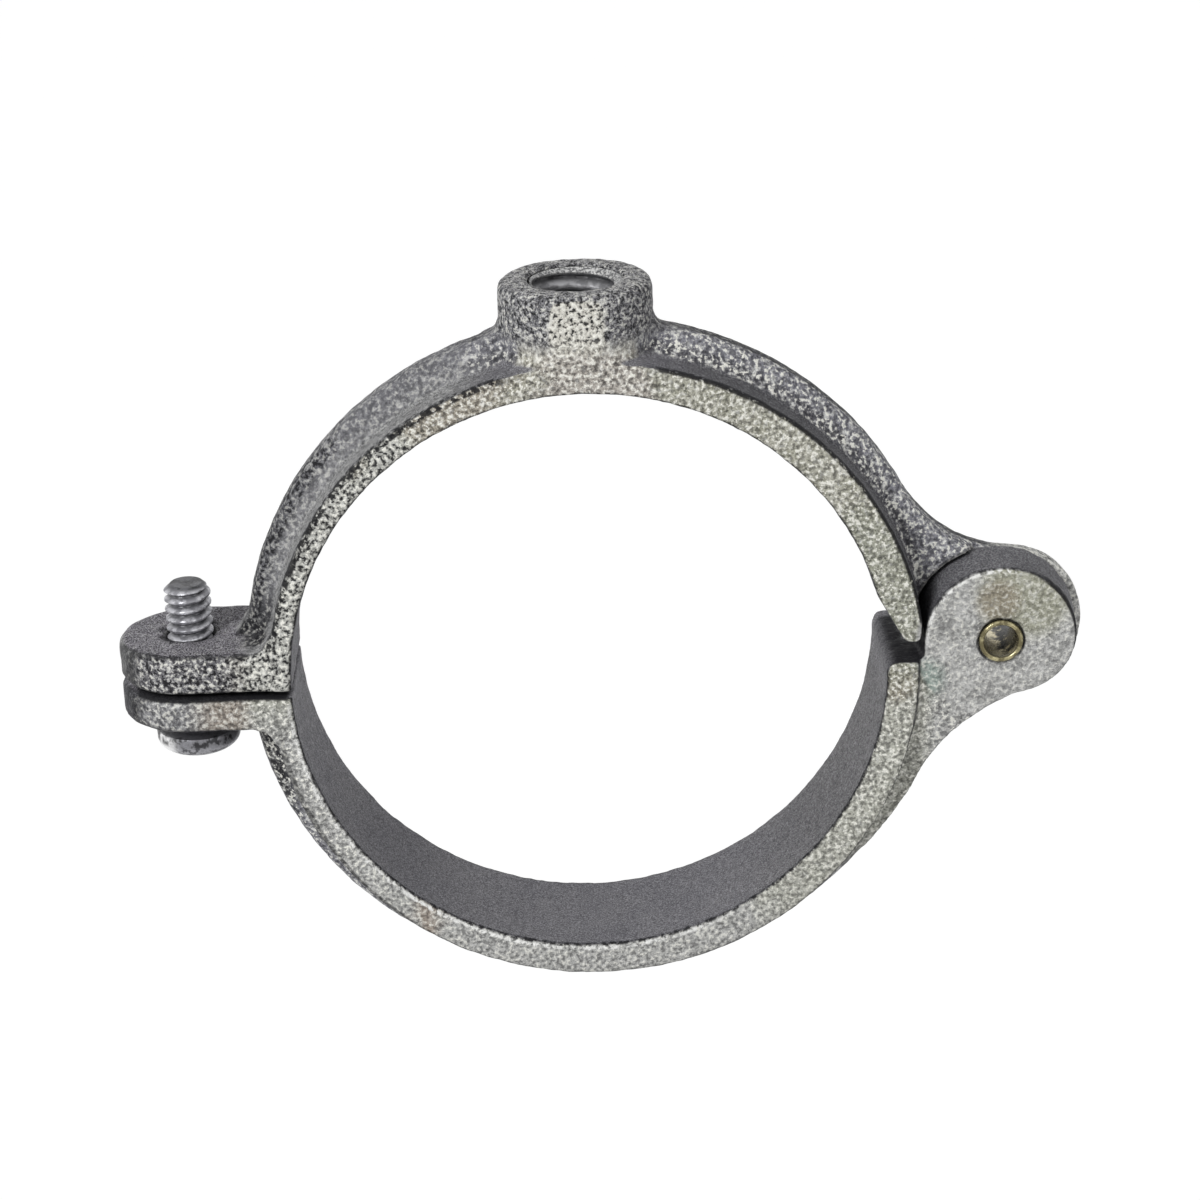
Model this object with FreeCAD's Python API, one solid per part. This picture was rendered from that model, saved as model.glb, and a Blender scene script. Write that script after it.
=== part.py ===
import FreeCAD, Part
import math
import os

# A hinged split ring hanger in cast malleable iron: two half rings with a T-shaped section hang a pipe from a
# threaded rod. They turn on a hollow rivet at one side, and a machine screw closes them at the other.
# Millimetres. The origin is the centre of the pipe seat, +X points to the hinge, +Y along the pipe and +Z up
# the rod.

# Pipe seat and bands
pipe_diameter = 60.3
pipe_clearance = 0.35
band_width = 14.9
upper_wall = 3.2
lower_wall = 2.85
upper_lean = 0.85
lower_lean = 0.55
lower_drop = 0.75
seat_edge_chamfer = 0.25
band_edge_round = 0.45

# Rib on the outside of each band
rib_height = 2.7
rib_root_width = 6.0
rib_crest_width = 3.0
rib_root_fillet = 1.0
rib_crest_round = 1.0

# Ends of the two bands at the hinge
upper_end_height = 2.6
upper_tip_rise = 3.4
upper_tip_run = 1.9
upper_tip_round = 1.0
lower_end_height = 0.5
lower_end_rise = 2.7
lower_end_run = 1.6
lower_end_round = 1.0

# Closing ears
ear_straight = 3.25
upper_ear_thickness = 4.35
upper_ear_bottom = -0.15
upper_ear_droop = 0.1
lower_ear_thickness = 3.65
ear_gap_at_ring = 0.55
ear_gap_at_end = 0.15
ear_edge_chamfer = 0.6
ear_root_fillet = 1.6

# Boss for the rod
boss_diameter = 15.6
boss_height = 10.1
boss_root_fillet = 2.0
boss_top_round = 0.9
rod_hole_diameter = 7.94
rod_countersink = 0.8

# Closing screw
screw_diameter = 4.83
screw_length = 15.9
screw_point_chamfer = 0.6
screw_head_diameter = 8.7
screw_head_height = 2.8
screw_head_rim = 0.8
screw_crown_share = 0.66
screw_crown_round = 1.6
screw_rim_round = 0.9
screw_slot_width = 1.2
screw_slot_depth = 1.3
screw_slack = 1.9
tapped_clearance = 0.05
plain_hole_clearance = 0.35
screw_hole_countersink = 0.4

# Hinge
pin_reach = 11.8
pin_height = 2.1
front_ear_radius = 7.95
front_ear_draft = 0.5
front_ear_recess = 0.9
front_ear_thickness = 5.9
front_ear_edge_chamfer = 0.25
rear_ear_radius = 7.75
rear_ear_thickness = 4.0
rear_ear_reach = 1.6
rear_ear_drop = 0.2
rear_ear_back_round = 2.6
lap_gap = 0.25
front_swing_clearance = 0.4
rear_swing_clearance = 0.2
toe_radius = 6.3
toe_angle = 14.0
upper_flare_radius = 14.0
upper_flare_depth = 2.6
upper_flare_round = 1.1
lower_flare_radius = 16.0
lower_web_end_angle = 40.0
lower_web_slope = 16.0

# Hollow rivet
rivet_diameter = 4.2
rivet_bore = 3.3
rivet_rim_diameter = 4.6
rivet_rim_height = 0.4
rivet_mouth_flare = 0.2
rivet_running_clearance = 0.05
rivet_rim_clearance = 0.2

# Short flats that draw each eased round
round_flats = 2

# Worked out from the sizes above
seat_radius = pipe_diameter / 2 + pipe_clearance
half_width = band_width / 2
upper_band_radius = seat_radius + upper_wall
lower_band_radius = seat_radius + lower_wall
upper_centre = (upper_lean, 0)
lower_centre = (lower_lean, -lower_drop)
screw_offset = seat_radius + ear_straight + half_width
pin_offset = seat_radius + pin_reach
boss_radius = boss_diameter / 2
boss_top = seat_radius + boss_height
screw_radius = screw_diameter / 2
upper_ear_top = upper_ear_bottom + upper_ear_thickness
lower_ear_top_at_ring = upper_ear_bottom - ear_gap_at_ring
lower_ear_top_at_end = upper_ear_bottom - upper_ear_droop - ear_gap_at_end
lower_ear_bottom = lower_ear_top_at_ring - lower_ear_thickness
screw_bearing = lower_ear_bottom - screw_slack
front_ear_front = front_ear_recess - half_width
front_ear_back = front_ear_front + front_ear_thickness
rear_ear_front = front_ear_back + lap_gap
rear_ear_back = rear_ear_front + rear_ear_thickness
pin_centre = (pin_offset, pin_height)
rear_ear_centre = (pin_offset + rear_ear_reach, pin_height - rear_ear_drop)
rear_relief_radius = math.dist(pin_centre, rear_ear_centre) + rear_ear_radius + rear_swing_clearance
far = 4 * seat_radius
near = 0.01


def point(x, y, z):
    return FreeCAD.Vector(x, y, z)


def on_circle(centre, radius, degrees):
    angle = math.radians(degrees)
    return (centre[0] + radius * math.cos(angle), centre[1] + radius * math.sin(angle))


def heading(start, end):
    """Direction in degrees from one (x, z) place to another."""
    return math.degrees(math.atan2(end[1] - start[1], end[0] - start[0]))


def line(start, end):
    return Part.LineSegment(point(start[0], 0, start[1]), point(end[0], 0, end[1])).toShape()


def arc(centre, radius, start, end):
    """An arc in the XZ plane between two angles in degrees, by way of the angle half way."""
    places = [on_circle(centre, radius, angle) for angle in (start, (start + end) / 2, end)]
    return Part.Arc(*[point(x, 0, z) for x, z in places]).toShape()


def corner_arc(before, corner, after, radius):
    """The hub of the tangent arc at a corner, and its two ends, from one neighbour to the other."""
    to_before = heading(corner, before)
    to_after = heading(corner, after)
    half = math.radians((to_after - to_before) % 360) / 2
    reach = abs(radius / math.tan(half))
    inside = to_before + math.degrees(half) + (180 if half > math.pi / 2 else 0)
    hub = on_circle(corner, radius / abs(math.sin(half)), inside)
    return hub, on_circle(corner, reach, to_before), on_circle(corner, reach, to_after)


def rounded(corners):
    """Closed edges through corners given as (x, z, radius), with an arc at each corner that has a radius."""
    starts = []
    ends = []
    bends = []
    for index, (x, z, radius) in enumerate(corners):
        before = corners[index - 1][:2]
        after = corners[(index + 1) % len(corners)][:2]
        hub, first, last = corner_arc(before, (x, z), after, radius)
        starts.append(first)
        ends.append(last)
        if radius > 0:
            top = on_circle(hub, radius, heading(hub, (x, z)))
            bends.append(Part.Arc(*[point(u, 0, v) for u, v in (first, top, last)]).toShape())
    sides = [line(ends[index - 1], starts[index]) for index in range(len(corners))]
    return Part.__sortEdges__(sides + bends)


def eased(corners):
    """The corners of a section, with each rounded one turned into a few short flats to keep its mesh light."""
    places = []
    for index, (u, v, radius) in enumerate(corners):
        if radius == 0:
            places.append((u, v))
            continue
        before = corners[index - 1][:2]
        after = corners[(index + 1) % len(corners)][:2]
        hub, first, last = corner_arc(before, (u, v), after, radius)
        start = heading(hub, first)
        sweep = (heading(hub, last) - start + 180) % 360 - 180
        for step in range(round_flats + 1):
            places.append(on_circle(hub, radius, start + sweep * step / round_flats))
    return places


def turned(section, origin, axis):
    """A solid turned about an axis along Y or Z through a place, from (radius, distance) corners."""
    if axis.y:
        loop = [origin + point(radius, along, 0) for radius, along in section]
    else:
        loop = [origin + point(radius, 0, along) for radius, along in section]
    return Part.Face(Part.makePolygon(loop + loop[:1])).revolve(origin, axis, 360)


def prism(outline, y_from, y_to):
    """A solid from closed edges in the XZ plane, between two planes across the pipe."""
    face = Part.Face(Part.Wire(Part.__sortEdges__(outline)))
    face.translate(point(0, y_from, 0))
    return face.extrude(point(0, y_to - y_from, 0))


def cylinder_along_pipe(centre, radius, y_from, y_to):
    return Part.makeCylinder(radius, y_to - y_from, point(centre[0], y_from, centre[1]), point(0, 1, 0))


def circle_edges(solid, radius, y_values):
    """The edges of this radius about an axis along the pipe that lie in one of these planes."""
    found = []
    for edge in solid.Edges:
        if isinstance(edge.Curve, Part.Circle) and abs(edge.Curve.Radius - radius) < near:
            if any(abs(edge.Curve.Center.y - y) < near for y in y_values):
                found.append(edge)
    return found


def middle_of(edge):
    return edge.valueAt((edge.FirstParameter + edge.LastParameter) / 2)


def half_ring(band_radius, centre, kept):
    """A T-section turned about a centre a little off the seat's, bored for the pipe and cut to one half."""
    inner = seat_radius / 2
    root = rib_root_width / 2
    crest = rib_crest_width / 2
    crest_radius = band_radius + rib_height
    section = eased([
        (inner, -half_width, 0), (band_radius, -half_width, band_edge_round),
        (band_radius, -root, rib_root_fillet), (crest_radius, -crest, rib_crest_round),
        (crest_radius, crest, rib_crest_round), (band_radius, root, rib_root_fillet),
        (band_radius, half_width, band_edge_round), (inner, half_width, 0),
    ])
    mouth = seat_radius + band_width
    flat = half_width - seat_edge_chamfer
    rim = seat_radius + seat_edge_chamfer
    bore = [(0, -band_width), (mouth, -band_width), (mouth, -half_width), (rim, -half_width),
            (seat_radius, -flat), (seat_radius, flat), (rim, half_width), (mouth, half_width),
            (mouth, band_width), (0, band_width)]
    ring = turned(section, point(centre[0], 0, centre[1]), point(0, 1, 0))
    ring = ring.cut(turned(bore, point(0, 0, 0), point(0, 1, 0)))
    return ring.common(prism(kept, -band_width, band_width))


def ear_root(corner_x, corner_z, up, width):
    """A hollow round along the corner where an ear meets the band, over a width across the pipe."""
    tip = (corner_x - ear_root_fillet, corner_z)
    peak = (corner_x, corner_z + up * ear_root_fillet)
    hub = (corner_x - ear_root_fillet, corner_z + up * ear_root_fillet)
    middle = on_circle(hub, ear_root_fillet, -45 * up)
    sunk = (corner_x + ear_root_fillet, corner_z - up * ear_root_fillet)
    bend = Part.Arc(*[point(x, 0, z) for x, z in (tip, middle, peak)]).toShape()
    outline = [bend, line(peak, (sunk[0], peak[1])), line((sunk[0], peak[1]), sunk),
               line(sunk, (tip[0], sunk[1])), line((tip[0], sunk[1]), tip)]
    return prism(outline, -width / 2, width / 2)


def closing_ear(top_at_ring, top_at_end, bottom_at_ring, bottom_at_end):
    """A tongue with a round end about the screw and chamfered rims; both faces may slope along its length."""
    root_x = -seat_radius - min(upper_wall, lower_wall) / 2
    end_x = -screw_offset - half_width
    side = [(root_x, bottom_at_ring, 0), (root_x, top_at_ring, 0), (end_x, top_at_end, 0),
            (end_x, bottom_at_end, 0)]
    slab = prism(rounded(side), -half_width, half_width)
    plan = Part.makeCylinder(half_width, far, point(-screw_offset, 0, -far / 2))
    plan = plan.fuse(Part.makeBox(screw_offset, band_width, far, point(-screw_offset, -half_width, -far / 2)))
    ear = slab.common(plan.removeSplitter()).removeSplitter()
    rims = []
    for edge in ear.Edges:
        middle = middle_of(edge)
        flat = abs(edge.tangentAt(edge.FirstParameter).z) < 0.5
        outside = abs(middle.y) > half_width - near or middle.x < -screw_offset - near
        if flat and outside and middle.x < root_x - near:
            rims.append(edge)
    return ear.makeChamfer(ear_edge_chamfer, rims)


def rod_boss():
    """The round boss, flared where it meets the band and the rib, and trimmed level with the band's faces."""
    bottom = seat_radius + upper_wall / 4
    foot = boss_radius + boss_root_fillet
    up = point(0, 0, 1)
    body = eased([(0, bottom, 0), (boss_radius, bottom, 0), (boss_radius, boss_top, boss_top_round),
                  (0, boss_top, 0)])
    boss = turned(body, point(0, 0, 0), up)
    rib_width = rib_crest_width + rib_crest_round
    for surface, width in ((upper_band_radius, band_width), (upper_band_radius + rib_height, rib_width)):
        level = math.sqrt(surface ** 2 - (foot + upper_lean) ** 2)
        shoulder = boss_top - boss_top_round
        flare = eased([(0, bottom, 0), (foot, bottom, 0), (foot, level, 0),
                       (boss_radius, level, boss_root_fillet - near), (boss_radius, shoulder, 0),
                       (0, shoulder, 0)])
        collar = turned(flare, point(0, 0, 0), up)
        boss = boss.fuse(collar.common(Part.makeBox(far, width, far, point(-far / 2, -width / 2, 0))))
    return boss.common(Part.makeBox(far, band_width, far, point(-far / 2, -half_width, 0)))


def rod_hole():
    radius = rod_hole_diameter / 2
    depth = 2 * rod_countersink
    mouth = Part.makeCone(radius, radius + depth, depth, point(0, 0, boss_top - rod_countersink))
    return Part.makeCylinder(radius, far, point(0, 0, 0)).fuse(mouth)


def screw_hole(radius, bottom, top):
    """A hole for the closing screw with a small countersink at both faces of its ear."""
    depth = 2 * screw_hole_countersink
    hole = Part.makeCylinder(radius, far, point(-screw_offset, 0, -far / 2))
    upper = Part.makeCone(radius, radius + depth, depth, point(-screw_offset, 0, top - depth / 2))
    lower = Part.makeCone(radius + depth, radius, depth, point(-screw_offset, 0, bottom - depth / 2))
    return hole.fuse(upper).fuse(lower)


def flare_hub(ring_centre, ring_radius, ear_centre, ear_radius, flare_radius, side):
    """Centre of the hollow arc that touches a rib's crest circle and an ear's circle from outside."""
    span = math.dist(ring_centre, ear_centre)
    from_ring = ring_radius + flare_radius
    from_ear = ear_radius + flare_radius
    along = (from_ring ** 2 - from_ear ** 2 + span ** 2) / (2 * span)
    across = side * math.sqrt(from_ring ** 2 - along ** 2)
    step = ((ear_centre[0] - ring_centre[0]) / span, (ear_centre[1] - ring_centre[1]) / span)
    hub_x = ring_centre[0] + along * step[0] - across * step[1]
    return (hub_x, ring_centre[1] + along * step[1] + across * step[0])


def rear_hinge_ear():
    """The upper casting's ear: a disc behind the lap, and a web that runs hollow into the rib's crest."""
    crest_radius = upper_band_radius + rib_height
    wall_radius = upper_band_radius - upper_wall / 2
    hub = flare_hub(upper_centre, crest_radius, rear_ear_centre, rear_ear_radius, upper_flare_radius, 1)
    at_crest = heading(upper_centre, hub)
    at_ear = heading(rear_ear_centre, hub)
    at_wall = math.degrees(math.asin(upper_end_height / wall_radius))
    step = (rear_ear_centre[0], upper_end_height)
    web = prism([
        line(rear_ear_centre, on_circle(rear_ear_centre, rear_ear_radius, at_ear)),
        arc(hub, upper_flare_radius, at_ear - 180, at_crest - 180),
        line(on_circle(upper_centre, crest_radius, at_crest), on_circle(upper_centre, wall_radius, at_crest)),
        arc(upper_centre, wall_radius, at_crest, at_wall),
        line(on_circle(upper_centre, wall_radius, at_wall), step),
        line(step, rear_ear_centre),
    ], -upper_flare_depth, rear_ear_back)
    web = web.makeFillet(rear_ear_back_round, circle_edges(web, upper_flare_radius, (rear_ear_back,)))
    web = web.makeFillet(upper_flare_round, circle_edges(web, upper_flare_radius, (-upper_flare_depth,)))
    disc = cylinder_along_pipe(rear_ear_centre, rear_ear_radius, rear_ear_front, rear_ear_back)
    disc = disc.makeFillet(rear_ear_back_round, circle_edges(disc, rear_ear_radius, (rear_ear_back,)))
    return web.fuse(disc)


def front_ear_outline(grown, y):
    """The front ear seen along the pipe: round about the pin, smaller at its toe, its web along the rib."""
    ear_radius = front_ear_radius + grown
    crest_radius = lower_band_radius + rib_height + min(grown, 0)
    wall_radius = lower_band_radius - lower_wall / 2
    toe_centre = on_circle(pin_centre, front_ear_radius - toe_radius, toe_angle)
    hub = flare_hub(lower_centre, crest_radius, toe_centre, toe_radius + grown, lower_flare_radius, -1)
    at_crest = heading(lower_centre, hub)
    at_toe = heading(toe_centre, hub)
    at_wall = math.degrees(math.asin((lower_end_height + lower_drop) / wall_radius))
    at_step = 180 + math.degrees(math.asin((pin_height - lower_end_height) / ear_radius))
    web_end = -lower_web_end_angle
    wire = Part.Wire(Part.__sortEdges__([
        arc(pin_centre, ear_radius, toe_angle, at_step),
        line(on_circle(pin_centre, ear_radius, at_step), on_circle(lower_centre, wall_radius, at_wall)),
        arc(lower_centre, wall_radius, at_wall, web_end),
        line(on_circle(lower_centre, wall_radius, web_end), on_circle(lower_centre, crest_radius, web_end)),
        arc(lower_centre, crest_radius, web_end, at_crest),
        arc(hub, lower_flare_radius, at_crest + 180, at_toe + 180),
        arc(toe_centre, toe_radius + grown, at_toe, toe_angle),
    ]))
    wire.translate(point(0, y, 0))
    return wire


def front_hinge_ear():
    """The lower casting's ear, drafted so that it widens towards the lap, with a slope under its web."""
    ear = Part.makeLoft([
        front_ear_outline(-front_ear_edge_chamfer, front_ear_front),
        front_ear_outline(0, front_ear_front + front_ear_edge_chamfer),
        front_ear_outline(front_ear_draft, front_ear_back),
    ], True, True)
    slope = Part.makeBox(far, far, far, point(0, -far, -far))
    slope.rotate(point(0, 0, 0), point(1, 0, 0), lower_web_slope)
    slope.translate(point(0, front_ear_front, pin_height - front_ear_radius))
    return ear.cut(slope)


def front_relief():
    """The hollow in the upper casting that clears the front ear as it swings, drafted as that ear is."""
    axis_foot = point(pin_offset, 0, pin_height)
    section = [(0, -half_width - lap_gap)]
    for y in (-half_width - lap_gap, rear_ear_front):
        drafted = front_ear_radius + front_ear_draft * (y - front_ear_front) / front_ear_thickness
        section.append((drafted + front_swing_clearance, y))
    section.append((0, rear_ear_front))
    return turned(section, axis_foot, point(0, 1, 0))


def make_upper_half():
    tip_x = seat_radius + upper_tip_run
    outer_x = upper_lean + upper_band_radius
    shelf = upper_end_height + upper_tip_rise
    kept = [(-far, upper_ear_bottom, 0), (0, upper_ear_bottom, 0), (0, shelf, 0),
            (tip_x - 2 * upper_tip_run, upper_end_height + 2 * upper_tip_rise, 0),
            (tip_x, upper_end_height, upper_tip_round), (outer_x, upper_end_height, upper_tip_round),
            (outer_x, shelf, 0), (far, shelf, 0), (far, far, 0), (-far, far, 0)]
    casting = half_ring(upper_band_radius, upper_centre, rounded(kept))
    casting = casting.fuse(rear_hinge_ear())
    casting = casting.cut(front_relief())
    ear_low = upper_ear_bottom - upper_ear_droop
    casting = casting.fuse(closing_ear(upper_ear_top, upper_ear_top, upper_ear_bottom, ear_low))
    crest_radius = upper_band_radius + rib_height
    for surface, width in ((upper_band_radius, band_width), (crest_radius, rib_crest_width)):
        casting = casting.fuse(ear_root(upper_lean - surface, upper_ear_top, 1, width))
    casting = casting.fuse(rod_boss())
    casting = casting.cut(rod_hole())
    casting = casting.cut(screw_hole(screw_radius + tapped_clearance, ear_low, upper_ear_top))
    pin_radius = rivet_diameter / 2 + rivet_running_clearance
    return casting.cut(pin_hole(pin_radius, rear_ear_front, rear_ear_back, rear_ear_back))


def make_lower_half():
    end_x = seat_radius + lower_end_run / 3
    kept = [(-far, lower_ear_top_at_ring, 0), (0, lower_ear_top_at_ring, 0),
            (end_x - lower_end_run, lower_end_height - lower_end_rise, 0),
            (end_x, lower_end_height, lower_end_round), (far, lower_end_height, 0), (far, -far, 0),
            (-far, -far, 0)]
    casting = half_ring(lower_band_radius, lower_centre, rounded(kept))
    casting = casting.cut(cylinder_along_pipe(pin_centre, rear_relief_radius, front_ear_back, far))
    casting = casting.fuse(front_hinge_ear())
    casting = casting.fuse(
        closing_ear(lower_ear_top_at_ring, lower_ear_top_at_end, lower_ear_bottom, lower_ear_bottom))
    crest_radius = lower_band_radius + rib_height
    for surface, width in ((lower_band_radius, band_width), (crest_radius, rib_crest_width)):
        casting = casting.fuse(ear_root(lower_lean - surface, lower_ear_bottom, -1, width))
    middle_top = (lower_ear_top_at_ring + lower_ear_top_at_end) / 2
    casting = casting.cut(screw_hole(screw_radius + plain_hole_clearance, lower_ear_bottom, middle_top))
    return casting.cut(pin_hole(rivet_diameter / 2, front_ear_front, front_ear_back, front_ear_front))


def pin_hole(radius, y_from, y_to, open_at):
    """A hole for the rivet between two planes, with a countersink for its rim at the plane where it opens."""
    mouth = rivet_rim_diameter / 2 + rivet_rim_clearance
    inward = mouth - radius if open_at == y_from else radius - mouth
    cone = turned([(0, open_at), (mouth, open_at), (radius, open_at + inward), (0, open_at + inward)],
                  point(pin_offset, 0, pin_height), point(0, 1, 0))
    return cylinder_along_pipe(pin_centre, radius, y_from, y_to).fuse(cone)


def make_rivet():
    """A hollow rivet, rolled over a short rim at both ends."""
    bore = rivet_bore / 2
    barrel = rivet_diameter / 2
    rim = rivet_rim_diameter / 2
    roll = rivet_rim_height / 2
    section = []
    for face, out in ((front_ear_front, -1), (rear_ear_back, 1)):
        outside = face + out * rivet_rim_height
        end = [(barrel, face - out * (rim - barrel)), (rim, face), (rim, face + out * roll),
               (rim - roll, outside), (bore + rivet_mouth_flare, outside),
               (bore, outside - out * rivet_mouth_flare)]
        section += end if out < 0 else end[::-1]
    return turned(section, point(pin_offset, 0, pin_height), point(0, 1, 0))


def make_screw():
    """A round head screw pointing up. Its thread is left out: its shank has the thread's outer diameter."""
    head_radius = screw_head_diameter / 2
    crown_radius = head_radius * screw_crown_share
    rim = screw_bearing - screw_head_rim
    head_bottom = screw_bearing - screw_head_height
    tip = screw_bearing + screw_length
    axis_foot = point(-screw_offset, 0, 0)
    section = eased([
        (0, head_bottom, 0), (crown_radius, head_bottom, screw_crown_round),
        (head_radius, rim, screw_rim_round), (head_radius, screw_bearing, 0),
        (screw_radius, screw_bearing, 0), (screw_radius, tip - screw_point_chamfer, 0),
        (screw_radius - screw_point_chamfer, tip, 0), (0, tip, 0),
    ])
    slot = Part.makeBox(far, screw_slot_width, screw_slot_depth,
                        point(-screw_offset - far / 2, -screw_slot_width / 2, head_bottom))
    return turned(section, axis_foot, point(0, 0, 1)).cut(slot)


upper_half = make_upper_half()
lower_half = make_lower_half()
os.makedirs("parts", exist_ok=True)
for name, shape in (("upper_half", upper_half), ("lower_half", lower_half), ("hinge_rivet", make_rivet()),
                    ("closing_screw", make_screw())):
    shape.exportStep("parts/" + name + ".step")
    print(name, shape.isValid(), round(shape.Volume, 1), len(shape.Solids), len(shape.Faces))
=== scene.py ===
import math

import bmesh
import bpy
import numpy as np
from mathutils import Matrix, Vector


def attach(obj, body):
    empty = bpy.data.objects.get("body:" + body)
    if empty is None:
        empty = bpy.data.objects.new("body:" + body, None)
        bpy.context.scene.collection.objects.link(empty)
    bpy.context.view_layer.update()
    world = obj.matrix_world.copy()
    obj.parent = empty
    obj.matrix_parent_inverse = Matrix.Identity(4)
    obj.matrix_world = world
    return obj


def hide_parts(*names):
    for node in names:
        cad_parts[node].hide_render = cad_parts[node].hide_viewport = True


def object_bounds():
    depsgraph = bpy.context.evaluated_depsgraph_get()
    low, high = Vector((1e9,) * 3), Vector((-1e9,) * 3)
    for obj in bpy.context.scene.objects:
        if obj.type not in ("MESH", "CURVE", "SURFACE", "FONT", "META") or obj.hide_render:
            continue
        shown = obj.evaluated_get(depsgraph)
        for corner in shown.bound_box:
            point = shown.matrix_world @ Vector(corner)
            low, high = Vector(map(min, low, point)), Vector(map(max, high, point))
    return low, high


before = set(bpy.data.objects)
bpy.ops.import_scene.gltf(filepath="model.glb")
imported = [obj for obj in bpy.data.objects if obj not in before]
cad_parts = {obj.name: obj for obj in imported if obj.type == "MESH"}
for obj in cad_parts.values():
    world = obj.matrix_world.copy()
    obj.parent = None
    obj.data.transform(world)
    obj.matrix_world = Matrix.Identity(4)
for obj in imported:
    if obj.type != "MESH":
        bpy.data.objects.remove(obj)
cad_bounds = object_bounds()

# A hinged split ring hanger in galvanised iron. Both castings are remeshed from the CAD with a sand-cast skin, and
# the rod's thread, the closing screw and the hollow rivet are made here from the CAD's sizes.

MM = 0.001

# Sizes in millimetres that the fine pieces share with the castings
SCREW_AXIS_X = -41.2
SCREW_RADIUS = 2.415
SCREW_PITCH = 1.058
SCREW_BEARING = -6.25
SCREW_TIP = 9.65
SCREW_POINT = 0.7
SCREW_HEAD_RADIUS = 4.35
SCREW_HEAD_HEIGHT = 2.8
SCREW_HEAD_RIM = 0.95
SCREW_THREAD_DEPTH = 0.52 * SCREW_PITCH
SLOT_WIDTH = 1.2
SLOT_DEPTH = 1.3
ROD_CREST_RADIUS = 3.97
ROD_ROOT_RADIUS = 4.78
ROD_PITCH = 1.5875
ROD_HOLE_BOTTOM = 30.8
ROD_COUNTERSINK = 0.8
BOSS_TOP = 40.6
UPPER_CENTRE_X = 0.85
LOWER_CENTRE_X = 0.55
LOWER_CENTRE_Z = -0.75
PIN_X = 42.3
PIN_Z = 2.1
RIVET_FRONT = -6.55
RIVET_BACK = 3.6
RIVET_BORE = 1.65
RIVET_BARREL = 2.1
RIVET_RIM = 2.28
RIVET_RISE = 0.38

# Shares of half a thread's pitch that its root and its flank take
THREAD_ROOT_SHARE = 0.12
THREAD_FLANK_SHARE = 0.72

# How finely the pieces are meshed
VOXEL = 0.27
EASE_STEPS = 7
ROWS_PER_TURN = 14
SCREW_SIDES = 56
ROD_SIDES = 72
RIVET_SIDES = 64

# The uneven skin of a sand casting: size and depth of its waves in millimetres, and the share that lies inward
SKIN_WAVES = ((3.6, 0.14), (1.1, 0.11))
SKIN_INWARD = 0.62

# Grain sizes of the coat's noises, how far its tones waver round the ring in degrees, and how strong it all is
BROAD_SIZE, PATCH_SIZE, GRAIN_SIZE, CRUMB_SIZE, SAND_SIZE, FINE_SIZE = 9.0, 2.6, 0.62, 0.62, 0.45, 0.17
TONE_WAVER = 7.0
GRAIN_SHARE = 0.8
# Strength of the painted shade that is broken into pits along edges and in the gaps between parts
PAINTED_SHADE_SHARE = 0.95
IRON_METAL = 0.08
IRON_SPECULAR = 0.05
IRON_BUMP = 0.42
STEEL_BUMP = 0.03
DEGREES_IN_RADIAN = 57.3

# Colours of the zinc coat on the flat faces
CREAM, DULL_CREAM = (0.50, 0.49, 0.42), (0.40, 0.395, 0.32)
PALE_ROSE, BUFF = (0.48, 0.44, 0.405), (0.42, 0.385, 0.32)
WARM_GREY, MOSS = (0.46, 0.46, 0.43), (0.36, 0.37, 0.30)
LOWER_RIGHT, LOWER_REST = (0.50, 0.50, 0.44), (0.48, 0.48, 0.47)
RUST_SPOT, END_SPOT, LOWER_SHADE = (0.40, 0.33, 0.27), (0.36, 0.29, 0.20), (0.32, 0.32, 0.30)
HINGE_LIGHT, HINGE_SHADE = (0.55, 0.55, 0.54), (0.41, 0.41, 0.40)
OLIVE, TAN, VERDIGRIS = (0.40, 0.40, 0.32), (0.34, 0.30, 0.23), (0.28, 0.36, 0.32)
LOWER_EAR_END, LOWER_EAR_ROOT = (0.27, 0.27, 0.28), (0.39, 0.345, 0.30)
UPPER_EAR_END, UPPER_EAR_ROOT = (0.17, 0.167, 0.18), (0.25, 0.235, 0.215)
# The boss's front, painted brighter than the coat as a highlight where the round boss faces straight front
BOSS_FRONT_PAINTED_LIGHT = (0.68, 0.66, 0.60)

# Colours of the rib, the plain rounds and the tops, with painted light and shade: the rib's flank and the band's
# outside lighter on the left and darker on the right, the boss's left side lighter, and a dark foot where the rib
# meets the ear
RIGHT_FLANK_PAINTED_SHADE, RIGHT_CREST = (0.13, 0.128, 0.145), (0.27, 0.27, 0.305)
LEFT_FLANK_PAINTED_LIGHT, LEFT_CREST, LEFT_CREST_FOOT = (0.27, 0.27, 0.28), (0.21, 0.21, 0.225), (0.10, 0.10, 0.11)
FLANK_SHADE, REAR_EAR, RIB_FOOT_PAINTED_SHADE = (0.20, 0.20, 0.215), (0.60, 0.60, 0.58), (0.035, 0.035, 0.04)
ZINC, LIGHT_ZINC = (0.165, 0.162, 0.180), (0.195, 0.191, 0.207)
OUTER_RIGHT_PAINTED_SHADE, OUTER_LEFT_PAINTED_LIGHT = (0.10, 0.099, 0.108), (0.30, 0.30, 0.30)
BOSS_LEFT_PAINTED_LIGHT, HINGE_ROUND, SEAT_RIGHT = (0.19, 0.19, 0.205), (0.105, 0.105, 0.112), (0.10, 0.098, 0.092)
EAR_TOP, BOSS_RIM = (0.20, 0.187, 0.215), (0.32, 0.315, 0.325)

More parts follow.
